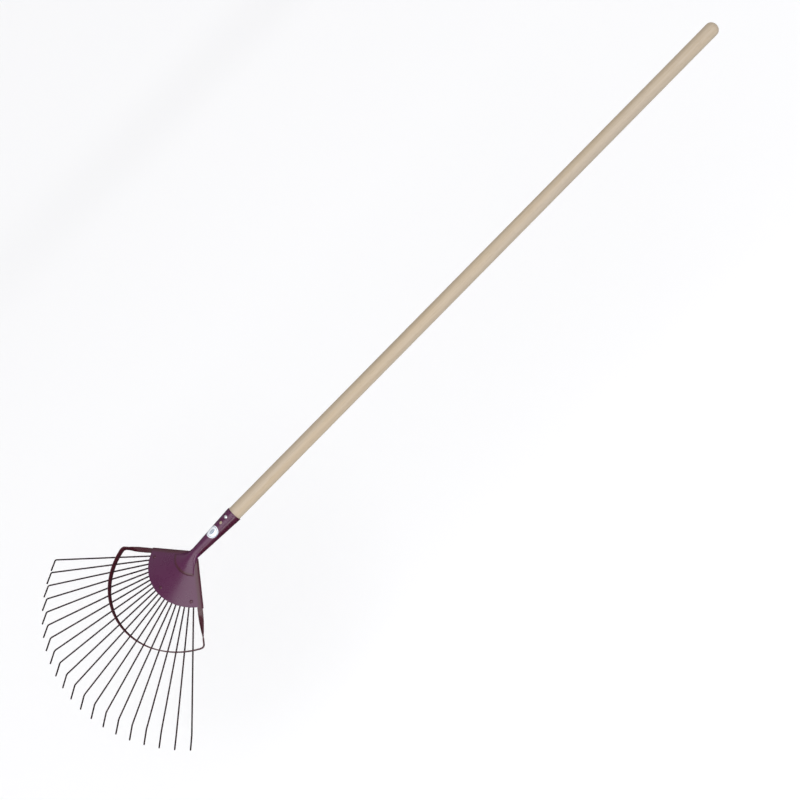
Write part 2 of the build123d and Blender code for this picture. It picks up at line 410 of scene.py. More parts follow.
ground = blend_colours(wood_tree, reckon(wood_tree, "MULTIPLY", pores, 0.38), ground, dark_wood)
ground = blend_colours(wood_tree, reckon(wood_tree, "MULTIPLY", hands, 0.10), ground, grey_wood)
wood_tree.links.new(ground, wood_shader.inputs["Base Color"])
wood_tree.links.new(rescale(wood_tree, reckon(wood_tree, "ADD", fibres, hands), 0.3, 1.7, 0.62, 0.42),
                    wood_shader.inputs["Roughness"])
relief(wood_tree, wood_shader, reckon(wood_tree, "SUBTRACT", fibres, pores), 0.00012, 0.6)
print("wood", len(wood_tree.nodes), "nodes")

# %% [markdown]
# ## Dipped lacquer, zinc and vinyl
# The tines are dipped, so they carry a thin dark film that is worn to steel at the very tips: their mesh
# has a `to_tip` attribute, the distance left to the end of the wire. The nail is bright zinc with a faint
# crystal pattern. The sticker is white vinyl with a plain printed ring and a leaf.

# %% Lacquer
lacquer, lacquer_tree, lacquer_shader = new_material("tine_lacquer", IOR=1.40)
film = use_group(lacquer_tree, marks, Patches=90.0, Cover=0.52)
to_tip = put(lacquer_tree, "ShaderNodeAttribute", attribute_name="to_tip").outputs["Fac"]
ragged = reckon(lacquer_tree, "MULTIPLY_ADD", use_group(lacquer_tree, marks, Patches=700.0, Cover=0.5),
                0.0016, to_tip)
bare = rescale(lacquer_tree, ragged, 0.0022, 0.0006)
thick_film = (0.0150, 0.0070, 0.0090, 1)
thin_film = (0.0320, 0.0070, 0.0125, 1)
worn_steel = (0.10, 0.085, 0.085, 1)
film_colour = blend_colours(lacquer_tree, film, thick_film, thin_film)
worn_share = reckon(lacquer_tree, "MULTIPLY", bare, 0.6)
tine_colour = blend_colours(lacquer_tree, worn_share, film_colour, worn_steel)
lacquer_tree.links.new(tine_colour, lacquer_shader.inputs["Base Color"])
lacquer_tree.links.new(reckon(lacquer_tree, "MULTIPLY", bare, 0.5), lacquer_shader.inputs["Metallic"])
lacquer_gloss = rescale(lacquer_tree, film, 0.0, 1.0, 0.42, 0.58)
lacquer_tree.links.new(lacquer_gloss, lacquer_shader.inputs["Roughness"])
relief(lacquer_tree, lacquer_shader, use_group(lacquer_tree, peel, Cells=1400.0), 0.00003, 0.4)

# %% Zinc
zinc, zinc_tree, zinc_shader = new_material("bright_zinc", Metallic=1.0)
crystals = put(zinc_tree, "ShaderNodeTexVoronoi", {"Vector": object_point(zinc_tree), "Scale": 1100.0})
facet = put(zinc_tree, "ShaderNodeSeparateColor", {0: crystals.outputs["Color"]}).outputs[0]
zinc_colour = blend_colours(zinc_tree, facet, (0.70, 0.71, 0.74, 1), (0.90, 0.91, 0.93, 1))
zinc_tree.links.new(zinc_colour, zinc_shader.inputs["Base Color"])
zinc_tree.links.new(rescale(zinc_tree, facet, 0.0, 1.0, 0.22, 0.40), zinc_shader.inputs["Roughness"])
relief(zinc_tree, zinc_shader, use_group(zinc_tree, peel, Cells=1500.0), 0.00004, 0.5)

# %% [markdown]
# The sticker's print is drawn with distances from its middle. A ring is where that distance lies between
# two values, and a leaf is where two discs, set off to either side, overlap.

# %% Vinyl
label_low, label_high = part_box("socket_label")
label_middle = (label_low.x + label_high.x) / 2
label_radius = (label_high.x - label_low.x) / 2
vinyl, vinyl_tree, vinyl_shader = new_material("white_vinyl", Coat_Weight=0.4, Coat_Roughness=0.12)


def distance_from(tree, x_place, y_place):
    """How far a surface point stands from a vertical line, in metres."""
    flat = vector_sum(tree, "MULTIPLY", object_point(tree), (1.0, 1.0, 0.0))
    inputs = {0: flat, 1: (x_place, y_place, 0.0)}
    return put(tree, "ShaderNodeVectorMath", inputs, operation="DISTANCE").outputs["Value"]


def within(tree, distance, radius, blur=0.00025):
    """1 inside a radius and 0 outside it, with a printed edge's blur."""
    return rescale(tree, distance, radius + blur, radius - blur)


from_middle = distance_from(vinyl_tree, label_middle, 0.0)
ring_outside = within(vinyl_tree, from_middle, label_radius * 0.84)
ring_inside = within(vinyl_tree, from_middle, label_radius * 0.76)
ring = reckon(vinyl_tree, "SUBTRACT", ring_outside, ring_inside)
leaf_disc = label_radius * 0.78
leaf_shift = label_radius * 0.52
leaf_left = within(vinyl_tree, distance_from(vinyl_tree, label_middle, leaf_shift), leaf_disc)
leaf_right = within(vinyl_tree, distance_from(vinyl_tree, label_middle, -leaf_shift), leaf_disc)
leaf = reckon(vinyl_tree, "MULTIPLY", leaf_left, leaf_right)
vein_place = put(vinyl_tree, "ShaderNodeSeparateXYZ", {0: object_point(vinyl_tree)}).outputs[1]
vein = within(vinyl_tree, reckon(vinyl_tree, "ABSOLUTE", vein_place), 0.00035, 0.00015)
ink = reckon(vinyl_tree, "MAXIMUM", ring, reckon(vinyl_tree, "SUBTRACT", leaf, vein))
ink = reckon(vinyl_tree, "MAXIMUM", ink, 0.0)
yellowing = use_group(vinyl_tree, marks, Patches=120.0, Cover=0.45)
clean_white = (0.86, 0.89, 0.93, 1)
aged_white = (0.74, 0.76, 0.78, 1)
ink_blue = (0.16, 0.24, 0.33, 1)
aged_share = reckon(vinyl_tree, "MULTIPLY", yellowing, 0.2)
vinyl_white = blend_colours(vinyl_tree, aged_share, clean_white, aged_white)
printed = blend_colours(vinyl_tree, reckon(vinyl_tree, "MULTIPLY", ink, 0.85), vinyl_white, ink_blue)
vinyl_tree.links.new(printed, vinyl_shader.inputs["Base Color"])
vinyl_tree.links.new(rescale(vinyl_tree, yellowing, 0.0, 1.0, 0.30, 0.45), vinyl_shader.inputs["Roughness"])
relief(vinyl_tree, vinyl_shader, use_group(vinyl_tree, peel, Cells=500.0), 0.00003, 0.4)
print("materials", len(bpy.data.materials))

# %% [markdown]
# ## The handle
# A handle like this is turned on a lathe, so it is a lathe shape here too: a domed butt, a long straight
# shaft and a tapered tenon inside the socket. A sanding belt never leaves it quite true, so the radius
# wanders by a tenth of a millimetre or so, always inwards.

# %% Handle
handle_low, handle_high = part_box("handle")
shaft_radius = handle_high.z
butt_rounding = 0.0125
tenon_radius = 0.0093
tenon_length = 0.082
tenon_root_radius = 0.014
shaft_rows = 150
dome_rows = 12
shaft_wander = 0.00009
tenon_chamfer = 0.001
handle_profile = [(handle_low.x, 0.0), (handle_low.x, (shaft_radius - butt_rounding) * 0.6)]
for step in range(dome_rows + 1):
    angle = quarter * step / dome_rows
    handle_profile.append((handle_low.x + butt_rounding * (1 - math.cos(angle)),
                           shaft_radius - butt_rounding * (1 - math.sin(angle))))
shaft_start = handle_low.x + butt_rounding
for step in range(1, shaft_rows + 1):
    place = shaft_start * (1 - step / shaft_rows)
    wander = shaft_wander * (1 + noise.noise(Vector((place * 9, 0.3, 0.7)))) * ease(step / 6)
    handle_profile.append((place, shaft_radius - wander))
handle_profile.append((handle_high.x - tenon_chamfer, tenon_radius + 0.00005))
handle_profile.append((handle_high.x, tenon_radius - tenon_chamfer))
handle_profile.append((handle_high.x, 0.0))
along_handle = Matrix.Rotation(quarter, 4, "Y")
handle = lathe("turned_handle", handle_profile, 72, along_handle)
soften(handle)
handle.data.materials.append(wood)
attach(handle, "root")
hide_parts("handle")

# %% [markdown]
# ## The fan's cone
# The fan isn't flat. Its tines are rays of a wide cone whose axis leans back from upright, so that the fan
# is humped across and its tips meet the ground together. Every place on the fan is then a reach from the
# apex, a turn about the axis and a level above the cone, and one function gives the point.

# %% Places on the cone
fan_lean = math.radians(22.0)
apex = Vector((0.108, 0.0, 0.0))
spread_axis = Vector((-math.sin(fan_lean), 0.0, math.cos(fan_lean)))
tine_radius = 0.0015
sheet = 0.0015
wall_thickness = sheet * 0.96
cap_level = tine_radius + sheet
leg_turn = math.radians(58.4)


def along(turn):
    """The direction of the ray at this turn."""
    return Matrix.Rotation(turn, 3, spread_axis) @ Vector((1, 0, 0))


def outwards(turn):
    """The cone's outward direction along that ray, up in the middle of the fan."""
    return Matrix.Rotation(turn, 3, spread_axis) @ Vector((0, 0, 1))


def sideways(turn):
    """Across the ray, towards a larger turn."""
    return outwards(turn).cross(along(turn))


def on_fan(reach, turn, level=0.0):
    """The point at a reach from the apex, a turn and a level above the cone."""
    return apex + along(turn) * reach + outwards(turn) * level


def paint_shade_mask(piece, measure):
    """Writes the painted shade that the enamel reads: 0 on open faces, 1 over shaded folds and edges."""
    values = piece.data.attributes.new("fold", "FLOAT", "POINT")
    for vertex in piece.data.vertices:
        values.data[vertex.index].value = measure(vertex.co)


# %% [markdown]
# ## The cap
# The upper plate is one pressed sheet. Its middle lies on the cone, and each straight edge is rolled over
# one leg of the hoop. It is made as a grid from one rolled edge to the other, given its thickness by
# Solidify and its worn edges by Bevel. A shallow bead follows the plate's curved rim.

# %% Cap
cap_start = 0.009
plate_reach = 0.100
hem_reach = 0.103
hem_inner = 0.0053
hem_outer = 0.0068
hem_roll = 0.0078
hem_underside = 0.0013
lip_roll = 0.0026
hem_steps = 12
lip_steps = 6
bead_depth = 0.00035
bead_inset = 0.0042
bead_width = 0.0016
cap_rows = 46
plate_columns = 80


def hem_outline():
    """The rolled edge across the leg, as (away from the tines, level), from the plate to the free lip."""
    outline = []
    for step in range(1, hem_steps + 1):
        angle = quarter * step / hem_steps
        outline.append((hem_outer - hem_roll + hem_roll * math.sin(angle), cap_level * math.cos(angle)))
    for step in range(lip_steps + 1):
        angle = quarter * step / lip_steps
        lateral = hem_outer - lip_roll * (1 - math.cos(angle))
        outline.append((lateral, lip_roll * (1 - math.sin(angle)) - cap_level))
    outline.append((hem_underside, -cap_level))
    return outline


def cap_level_at(reach):
    """The plate's own relief: flat, with a shallow bead just inside its rim."""
    bead = (reach - (plate_reach - bead_inset)) / bead_width
    return cap_level - bead_depth * math.exp(-bead * bead)


def cap_row(share):
    """One row of the cap's upper face, from one free lip to the other."""
    reach = cap_start + (plate_reach - cap_start) * share
    hem_run = cap_start + (hem_reach - cap_start) * share
    edge_turn = leg_turn - math.asin(hem_inner / max(reach, hem_inner * 1.05))
    hem = hem_outline()
    row = []
    for lateral, level in reversed(hem):
        row.append(on_fan(hem_run, -leg_turn, level) - sideways(-leg_turn) * lateral)
    for column in range(plate_columns + 1):
        turn = edge_turn * (2 * column / plate_columns - 1)
        row.append(on_fan(reach, turn, cap_level_at(reach)))
    for lateral, level in hem:
        row.append(on_fan(hem_run, leg_turn, level) + sideways(leg_turn) * lateral)
    return row


cap_grid = [cap_row(step / cap_rows) for step in range(cap_rows + 1)]
cap = mesh_piece("pressed_cap", [point for row in cap_grid for point in row],
                 flipped(grid_faces(len(cap_grid), len(cap_grid[0]))))
# The rolled edges over the legs are painted towards the shaded maroon, as painted shade.
hem_shade_inset = 0.0050
hem_shade_blur = 0.0012


def beyond_plate(point):
    """How far onto a rolled edge a point of the cap lies, from 0 to 1."""
    beyond = [side * (point - apex).dot(sideways(side * leg_turn)) for side in (-1, 1)]
    return ease((max(beyond) + hem_shade_inset) / hem_shade_blur)


def thicken(piece, thickness, edge, steps=3, drill=None):
    """Gives a sheet its thickness, below the face that was made, drills it and softens its rim."""
    wall = piece.modifiers.new("wall", "SOLIDIFY")
    wall.thickness = thickness
    wall.offset = -1.0
    if drill:
        hole = piece.modifiers.new("hole", "BOOLEAN")
        hole.object = drill
        hole.solver = "EXACT"
    rim = piece.modifiers.new("rim", "BEVEL")
    rim.width = edge
    rim.segments = steps
    rim.limit_method = "ANGLE"
    rim.angle_limit = math.radians(55)
    settle(piece)
    if drill:
        bpy.data.objects.remove(drill)
    soften(piece)


thicken(cap, wall_thickness, edge=0.0003)
# Painted shade over the rolled edges.
paint_shade_mask(cap, beyond_plate)
cap.data.materials.append(enamel_plate)
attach(cap, "root")
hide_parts("fan_cap")

# %% [markdown]
# ## The back plate
# The lower plate is a plain sector of the same cone. The press that closes it on the tines leaves it
# fluted: it stands proud under each wire and sinks a little between two wires.

# %% Back plate
tine_count = 20
tine_step = math.radians(5.36)
half_turn = tine_step * (tine_count - 1) / 2
back_start = 0.050
back_reach = 0.098
back_half_turn = half_turn + math.radians(2.0)
flute_depth = 0.0006
back_columns = 400
back_rows = 24


def flute(turn):
    """How far the back plate rises between two wires."""
    if abs(turn) > half_turn:
        return 0.0
    return flute_depth * (0.5 - 0.5 * math.cos(math.tau * (turn + half_turn) / tine_step))


back_points = []
for row in range(back_rows + 1):
    reach = back_start + (back_reach - back_start) * row / back_rows
    for column in range(back_columns + 1):
        turn = back_half_turn * (1 - 2 * column / back_columns)
        back_points.append(on_fan(reach, turn, flute(turn) - cap_level))
back_faces = flipped(grid_faces(back_rows + 1, back_columns + 1))
back = mesh_piece("fluted_back_plate", back_points, back_faces)
thicken(back, wall_thickness, edge=0.0003)
# The back plate, under the tines, is painted half-way to the shaded maroon, as painted shade.
paint_shade_mask(back, lambda point: 0.5)
back.data.materials.append(enamel_plate)
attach(back, "root")
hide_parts("back_plate")

# %% [markdown]
# ## The socket
# The socket starts as a flat blank that is rolled into a tapered tube, open along a seam beneath, and
# spread at its end into a foot that lies on the cap. Its grid has one column for each angle round the
# tube. The upper columns run on past the neck: each follows a smooth curve that leaves the tube straight
# and lands flat on the cap, and then rolls down to it at the foot's rim.

# %% Socket outline
mouth_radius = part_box("socket")[1].z
socket_taper = (tenon_root_radius - tenon_radius) / tenon_length
neck_place = 0.098
lower_end = 0.1055
foot_reach = 0.0415
foot_turn = math.radians(51.0)
foot_rise = 0.0023
foot_roll = 0.0026
seam_half_gap = 0.0008
tube_rows = 44
tail_rows = 30
roll_rows = 6
lower_rows = 3
half_columns = 26
lower_columns = 22


def tube_radius(place):
    """The socket's outside radius at a distance from its mouth."""
    return mouth_radius - socket_taper * place


def tube_point(place, angle, extra=0.0):
    """A point round the tube; the angle is from the top towards +Y."""
    radius = tube_radius(place) + extra
    return Vector((place, radius * math.sin(angle), radius * math.cos(angle)))


def foot_level(share):
    """The foot's height across its width: level in the middle, rolled down at both sides."""
    return cap_level + foot_rise * math.sqrt(max(0.0, 1 - abs(share) ** 5))


def tail_point(angle, step):
    """A point of the tail above the cap, from the neck (0) to where the foot's rim starts to roll (1)."""
    share = angle / quarter
    turn = foot_turn * share
    start = tube_point(neck_place, angle)
    end = on_fan(foot_reach - foot_roll, turn, foot_level(share))
    span = (end - start).length
    leaving = Vector((1, 0, 0)) * span * 1.15
    landing = along(turn) * span * 0.85
    cube, square = step ** 3, step ** 2
    return (start * (2 * cube - 3 * square + 1) + leaving * (cube - 2 * square + step)
            + end * (3 * square - 2 * cube) + landing * (cube - square))


def roll_point(angle, step):
    """A point of the foot's rolled rim, from its top (0) to the cap (1)."""
    share = angle / quarter
    height = foot_level(share) - cap_level
    bend = quarter * step
    reach = foot_reach - foot_roll + foot_roll * math.sin(bend)
    return on_fan(reach, foot_turn * share, cap_level + 0.0001 + height * math.cos(bend))


# %% Socket mesh
seam_angle = math.pi - seam_half_gap / tube_radius(neck_place / 2)
angles = [-seam_angle + (seam_angle - quarter) * step / lower_columns for step in range(lower_columns)]
angles += [-quarter + quarter * step / half_columns for step in range(2 * half_columns + 1)]
angles += [quarter + (seam_angle - quarter) * step / lower_columns for step in range(1, lower_columns + 1)]
socket_points = []
socket_faces = []
columns = len(angles)
for row in range(tube_rows + 1):
    place = neck_place * row / tube_rows
    socket_points += [tube_point(place, angle) for angle in angles]
socket_faces += grid_faces(tube_rows + 1, columns)
neck_row = tube_rows * columns


def add_rows(first, last, rows, point_of):
    """Carries a range of columns on from the neck, row by row."""
    before = [neck_row + column for column in range(first, last + 1)]
    for row in range(1, rows + 1):
        here = list(range(len(socket_points), len(socket_points) + len(before)))
        socket_points.extend(point_of(angles[column], row) for column in range(first, last + 1))
        for column in range(len(before) - 1):
            socket_faces.append((before[column], before[column + 1], here[column + 1], here[column]))
        before = here


def tail_and_roll(angle, row):
    """The tail's rows first, then the rim's."""
    if row <= tail_rows:
        return tail_point(angle, row / tail_rows)
    return roll_point(angle, (row - tail_rows) / roll_rows)


def lower_row(angle, row):
    """The tube's open underside ends a little beyond the neck."""
    return tube_point(neck_place + (lower_end - neck_place) * row / lower_rows, angle)


add_rows(lower_columns, lower_columns + 2 * half_columns, tail_rows + roll_rows, tail_and_roll)
add_rows(0, lower_columns, lower_rows, lower_row)
add_rows(lower_columns + 2 * half_columns, columns - 1, lower_rows, lower_row)
socket = mesh_piece("rolled_socket", socket_points, flipped(socket_faces))

# %% [markdown]
# One spare hole is drilled through the top, and the wood shows in it. A cutter and a Boolean modifier make
# it after the wall has its thickness.

# %% Spare hole
spare_hole_place = 0.0285
spare_hole_radius = 0.0033
drill_low, drill_high = 0.004, 0.03
drill_profile = [(drill_low, 0.0), (drill_low, spare_hole_radius),
                 (drill_high, spare_hole_radius), (drill_high, 0.0)]
drill = lathe("drill", drill_profile, 40, Matrix.Translation((spare_hole_place, 0, 0)))
thicken(socket, wall_thickness, edge=0.00025, steps=2, drill=drill)

# The socket's sides and the foot's rolled rim are painted darker, as painted shade.
side_shade_depth = 0.75
side_shade_start = 0.5
rim_shade_width = foot_roll * 2.0
rim_shade_blur = foot_roll * 0.5


def socket_shade_mask(point):
    """Painted shade: darker down the tube's sides and over the foot's rolled rim."""
    if point.x < neck_place:
        return side_shade_depth * ease((abs(point.y) / tube_radius(point.x) - side_shade_start) * 2.2)
    return ease(((point - apex).length - (foot_reach - rim_shade_width)) / rim_shade_blur)


paint_shade_mask(socket, socket_shade_mask)
socket.data.materials.append(enamel_plate)
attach(socket, "root")
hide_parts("socket")

# %% [markdown]
# ## Nail and sticker
# A domed nail holds the socket on the handle. It is turned like the handle, with a shallow dome for a
# head. The sticker is a thin disc bent round the tube, made ring by ring from its middle.

# %% Nail
nail_low, nail_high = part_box("socket_nail")
nail_place = (nail_low.x + nail_high.x) / 2
nail_radius = (nail_high.x - nail_low.x) / 2
nail_head = 0.0018
nail_dome = nail_head * 0.85
nail_shank = 0.0016
nail_point = 0.0015
nail_seat = nail_high.z - nail_head
dome_start = nail_high.z - nail_dome
nail_dome_steps = 9
nail_profile = [(nail_low.z, 0.0), (nail_low.z + nail_point, nail_shank * 0.9), (nail_seat, nail_shank)]
nail_profile += [(nail_seat, nail_radius * 0.97), (dome_start, nail_radius)]
for step in range(1, nail_dome_steps):
    angle = quarter * step / nail_dome_steps
    nail_profile.append((dome_start + nail_dome * math.sin(angle), nail_radius * math.cos(angle)))
nail_profile.append((nail_high.z, 0.0))
nail = lathe("zinc_nail", nail_profile, 40, Matrix.Translation((nail_place, 0, 0)))
soften(nail)
nail.data.materials.append(zinc)
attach(nail, "root")
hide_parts("socket_nail")

# %% Sticker
label_lift = 0.00018
label_rings = 14
label_segments = 72
label_points = [tube_point(label_middle, 0.0, label_lift)]
for ring_number in range(1, label_rings + 1):
    distance = label_radius * 0.98 * ring_number / label_rings
    for step in range(label_segments):
        angle = math.tau * step / label_segments
        place = label_middle + distance * math.cos(angle)
        label_points.append(tube_point(place, distance * math.sin(angle) / tube_radius(place), label_lift))
label_faces = [tuple(corner + 1 for corner in face)
               for face in grid_faces(label_rings, label_segments, wrap=True)]
label_faces += [(0, 1 + (step + 1) % label_segments, 1 + step) for step in range(label_segments)]
label = mesh_piece("round_sticker", label_points, flipped(label_faces))
thicken(label, label_lift * 0.9, edge=0.00004)
label.data.materials.append(vinyl)
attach(label, "root")
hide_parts("socket_label")

# %% [markdown]
# ## The hoop
# One strip of steel runs from hem to hem. It lies flat in each hem, twists a quarter turn until it stands
# on edge, bends at a corner and sweeps round the tines. A path of frames says, at each step, where the
# strip is, which way it runs and which way its width points; a rounded section is set on each frame.

# %% The strip's path
band_width = 0.010
band_thickness = 0.0024
band_rounding = 0.0006
leg_start = 0.020
twist_start = 0.108
twist_end = 0.160
corner_reach = 0.1755
corner_run = 0.007
flat_steps = 6
twist_steps = 36
corner_steps = 12
arc_steps = 120
hoop_reach = 0.194


def turn_of(point):
    """The turn at which a point stands about the cone's axis."""
    arm = point - apex
    return math.atan2(arm.y, arm.x * math.cos(fan_lean) + arm.z * math.sin(fan_lean))


def leg_frames(side):
    """The frames of one leg, outwards from its hem; each is (point, run, width direction)."""
    turn = side * leg_turn
    frames = []
    leg_end = corner_reach - corner_run
    flat = [leg_start + (twist_start - leg_start) * step / flat_steps for step in range(flat_steps)]
    twisted_run = leg_end - twist_start
    twisting = [twist_start + twisted_run * step / twist_steps for step in range(twist_steps + 1)]
    for reach in flat + twisting:
        lean = quarter * min(max((reach - twist_start) / (twist_end - twist_start), 0.0), 1.0)
        width = sideways(turn) * side * math.cos(lean) + outwards(turn) * math.sin(lean)
        frames.append((on_fan(reach, turn), along(turn), width))
    return frames


def circle_through(first, second, third):
    """The middle of the circle through three points, its axis and the angle from first to third."""
    to_second, to_third = second - first, third - first
    axis = to_second.cross(to_third)
    middle = first + (axis.cross(to_second) * to_third.length_squared
                      + to_third.cross(axis) * to_second.length_squared) / (2 * axis.length_squared)
    axis.normalize()
    start, end = first - middle, third - middle
    angle = math.atan2(axis.dot(start.cross(end)), start.dot(end)) % math.tau
    return middle, axis, angle


near_corner = on_fan(corner_reach, leg_turn)
far_corner = on_fan(corner_reach, -leg_turn)
hoop_middle, hoop_axis, hoop_angle = circle_through(near_corner, on_fan(hoop_reach, 0.0), far_corner)
hoop_radius = (near_corner - hoop_middle).length
bend_share = corner_run / (hoop_radius * hoop_angle)
print("hoop radius", round(hoop_radius, 4), "m over", round(math.degrees(hoop_angle), 1), "degrees")


def arc_frame(share):
    """A frame of the sweep round the tines, from the corner at +Y (0) to the one at -Y (1)."""
    arm = Matrix.Rotation(hoop_angle * share, 3, hoop_axis) @ (near_corner - hoop_middle)
    point = hoop_middle + arm
    return point, hoop_axis.cross(arm).normalized(), outwards(turn_of(point))


def corner_frames(side, arc_end):
    """The bend from a leg to the sweep, on a short curve that keeps clear of the corner itself."""
    corner = on_fan(corner_reach, side * leg_turn)
    leg_end = on_fan(corner_reach - corner_run, side * leg_turn)
    frames = []
    for step in range(1, corner_steps):
        share = step / corner_steps
        point = leg_end * (1 - share) ** 2 + corner * (2 * share * (1 - share)) + arc_end * share ** 2
        run = (corner - leg_end) * (1 - share) + (arc_end - corner) * share
        frames.append((point, run.normalized(), outwards(turn_of(point))))
    return frames


def reversed_run(frames):
    """The same frames in the opposite order, running the other way."""
    return [(point, -run, width) for point, run, width in reversed(frames)]


arc = [arc_frame(bend_share + (1 - 2 * bend_share) * step / arc_steps) for step in range(arc_steps + 1)]
hoop_frames = leg_frames(1) + corner_frames(1, arc[0][0]) + arc
hoop_frames += reversed_run(leg_frames(-1) + corner_frames(-1, arc[-1][0]))

# %% The strip's section
def strip_section(width, thickness, rounding, steps=4):
    """A rectangle with rounded corners, as (along the width, along the thickness)."""
    section = []
    for corner, (side_x, side_y) in enumerate([(1, 1), (-1, 1), (-1, -1), (1, -1)]):
        for step in range(steps + 1):
            angle = quarter * (corner + step / steps)
            section.append((side_x * (width / 2 - rounding) + rounding * math.cos(angle),
                            side_y * (thickness / 2 - rounding) + rounding * math.sin(angle)))
    return section


section = strip_section(band_width, band_thickness, band_rounding)
hoop_points = []
for point, run, width in hoop_frames:
    across = (width - run * width.dot(run)).normalized()
    through = run.cross(across)
    hoop_points += [point + across * a + through * b for a, b in section]
hoop_faces = grid_faces(len(hoop_frames), len(section), wrap=True)
last = len(hoop_points) - len(section)
hoop_faces.append(tuple(reversed(range(len(section)))))
hoop_faces.append(tuple(range(last, last + len(section))))
hoop = mesh_piece("strip_hoop", hoop_points, hoop_faces)
soften(hoop)

# %% [markdown]
# Each tine passes through its own hole in the strip. Twenty drills, one along each ray, cut them all at
# once.

# %% Holes for the tines
tine_hole_radius = tine_radius + 0.00015
drill_near, drill_far = 0.155, 0.215
tine_drill = [(drill_near, 0.0), (drill_near, tine_hole_radius),
              (drill_far, tine_hole_radius), (drill_far, 0.0)]
drills = []
for number in range(tine_count):
    turn = tine_step * number - half_turn
    placing = Matrix.Translation(on_fan(0, turn)) @ along(turn).to_track_quat("Z", "Y").to_matrix().to_4x4()
    drills.append(lathe("hoop_drill", tine_drill, 20, placing))
gathered = bmesh.new()
for drill in drills:
    gathered.from_mesh(drill.data)
    bpy.data.objects.remove(drill)
drill_mesh = bpy.data.meshes.new("hoop_drills")
gathered.to_mesh(drill_mesh)
gathered.free()
drills = link_piece("hoop_drills", drill_mesh)
holes = hoop.modifiers.new("holes", "BOOLEAN")
holes.object = drills
holes.solver = "EXACT"
settle(hoop)
bpy.data.objects.remove(drills)
soften(hoop, math.radians(50))
# The hoop is painted in the shaded maroon all over, as painted shade.
paint_shade_mask(hoop, lambda point: 1.0)
hoop.data.materials.append(enamel_shaded)
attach(hoop, "root")
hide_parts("hoop")

# %% [markdown]
# ## The tines
# Twenty wires that differ only in their turn are a job for Geometry Nodes. The tree sets four points for
# each wire: its start, its bend, a point just short of the tip and the tip. It rounds the bend, draws the
# wire round the curve with a narrowed tip, and stores the distance left to the tip for the lacquer. Every
# hook has the same forward and downward part, so all the tips point nearly the same way.

# %% The tree of the tines
def geometry_tree(name, inputs):
    """A Geometry Nodes tree with named inputs, given as name: (socket type, value)."""
    tree = bpy.data.node_groups.new(name, "GeometryNodeTree")
    tree.interface.new_socket("Geometry", in_out="INPUT", socket_type="NodeSocketGeometry")
    for label, (kind, value) in inputs.items():
        socket = tree.interface.new_socket(label, in_out="INPUT", socket_type=kind)
        if not isinstance(value, bpy.types.ID):
            socket.default_value = value
    tree.interface.new_socket("Geometry", in_out="OUTPUT", socket_type="NodeSocketGeometry")
    return tree, tree.nodes.new("NodeGroupInput").outputs, tree.nodes.new("NodeGroupOutput")


def ray_direction(tree, lean, turn, forwards):
    """Turns a vector about the cone's axis."""
    back = reckon(tree, "MULTIPLY", reckon(tree, "SINE", lean), -1.0)
    up = reckon(tree, "COSINE", lean)
    axis = put(tree, "ShaderNodeCombineXYZ", {0: back, 2: up}).outputs[0]
    inputs = {"Vector": forwards, "Axis": axis, "Angle": turn}
    return put(tree, "ShaderNodeVectorRotate", inputs, rotation_type="AXIS_ANGLE").outputs[0]


def scaled(tree, vector, factor):
    """A vector times a number."""
    node = put(tree, "ShaderNodeVectorMath", {0: vector, "Scale": factor}, operation="SCALE")
    return node.outputs["Vector"]


length = "NodeSocketFloat"
tine_values = {
    "Count": ("NodeSocketInt", tine_count),
    "Step": (length, tine_step),
    "Lean": (length, fan_lean),
    "Apex": (length, apex.x),
    "Start": (length, 0.057),
    "Reach": (length, 0.333),
    "Bend Radius": (length, 0.009),
    "Wire Radius": (length, tine_radius),
    "Hook Outwards": (length, 0.0102),
    "Hook Forwards": (length, 0.0208),
    "Hook Drop": (length, 0.0268),
    "Material": ("NodeSocketMaterial", lacquer),
}
tines_tree, wire, tines_end = geometry_tree("spring_tines", tine_values)
index = put(tines_tree, "GeometryNodeInputIndex").outputs[0]
wire_number = reckon(tines_tree, "FLOOR", reckon(tines_tree, "DIVIDE", index, 4.0))
stage = reckon(tines_tree, "MODULO", index, 4.0)
middle_number = reckon(tines_tree, "MULTIPLY", reckon(tines_tree, "SUBTRACT", wire["Count"], 1.0), 0.5)
steps_aside = reckon(tines_tree, "SUBTRACT", wire_number, middle_number)
wire_turn = reckon(tines_tree, "MULTIPLY", steps_aside, wire["Step"])
ray = ray_direction(tines_tree, wire["Lean"], wire_turn, (1.0, 0.0, 0.0))
bent = reckon(tines_tree, "GREATER_THAN", stage, 0.5)
hook_share = rescale(tines_tree, stage, 1.0, 2.0, 0.0, 0.985)
hook_share = reckon(tines_tree, "ADD", hook_share, rescale(tines_tree, stage, 2.0, 3.0, 0.0, 0.015))
run_length = reckon(tines_tree, "SUBTRACT", wire["Reach"], wire["Start"])
ray_reach = reckon(tines_tree, "MULTIPLY_ADD", bent, run_length, wire["Start"])
drop = reckon(tines_tree, "MULTIPLY", wire["Hook Drop"], -1.0)
hook = put(tines_tree, "ShaderNodeCombineXYZ", {0: wire["Hook Forwards"], 2: drop}).outputs[0]
hook = vector_sum(tines_tree, "ADD", hook, scaled(tines_tree, ray, wire["Hook Outwards"]))
wire_start = put(tines_tree, "ShaderNodeCombineXYZ", {0: wire["Apex"]}).outputs[0]
place = vector_sum(tines_tree, "ADD", wire_start, scaled(tines_tree, ray, ray_reach))
place = vector_sum(tines_tree, "ADD", place, scaled(tines_tree, hook, hook_share))
point_count = reckon(tines_tree, "MULTIPLY", wire["Count"], 4.0)
points = put(tines_tree, "GeometryNodePoints", {"Count": point_count, "Position": place})
wires = put(tines_tree, "GeometryNodePointsToCurves",
            {"Points": points.outputs[0], "Curve Group ID": wire_number, "Weight": stage})
at_bend = put(tines_tree, "FunctionNodeCompare", {0: stage, 1: 1.0, "Epsilon": 0.1}, operation="EQUAL")
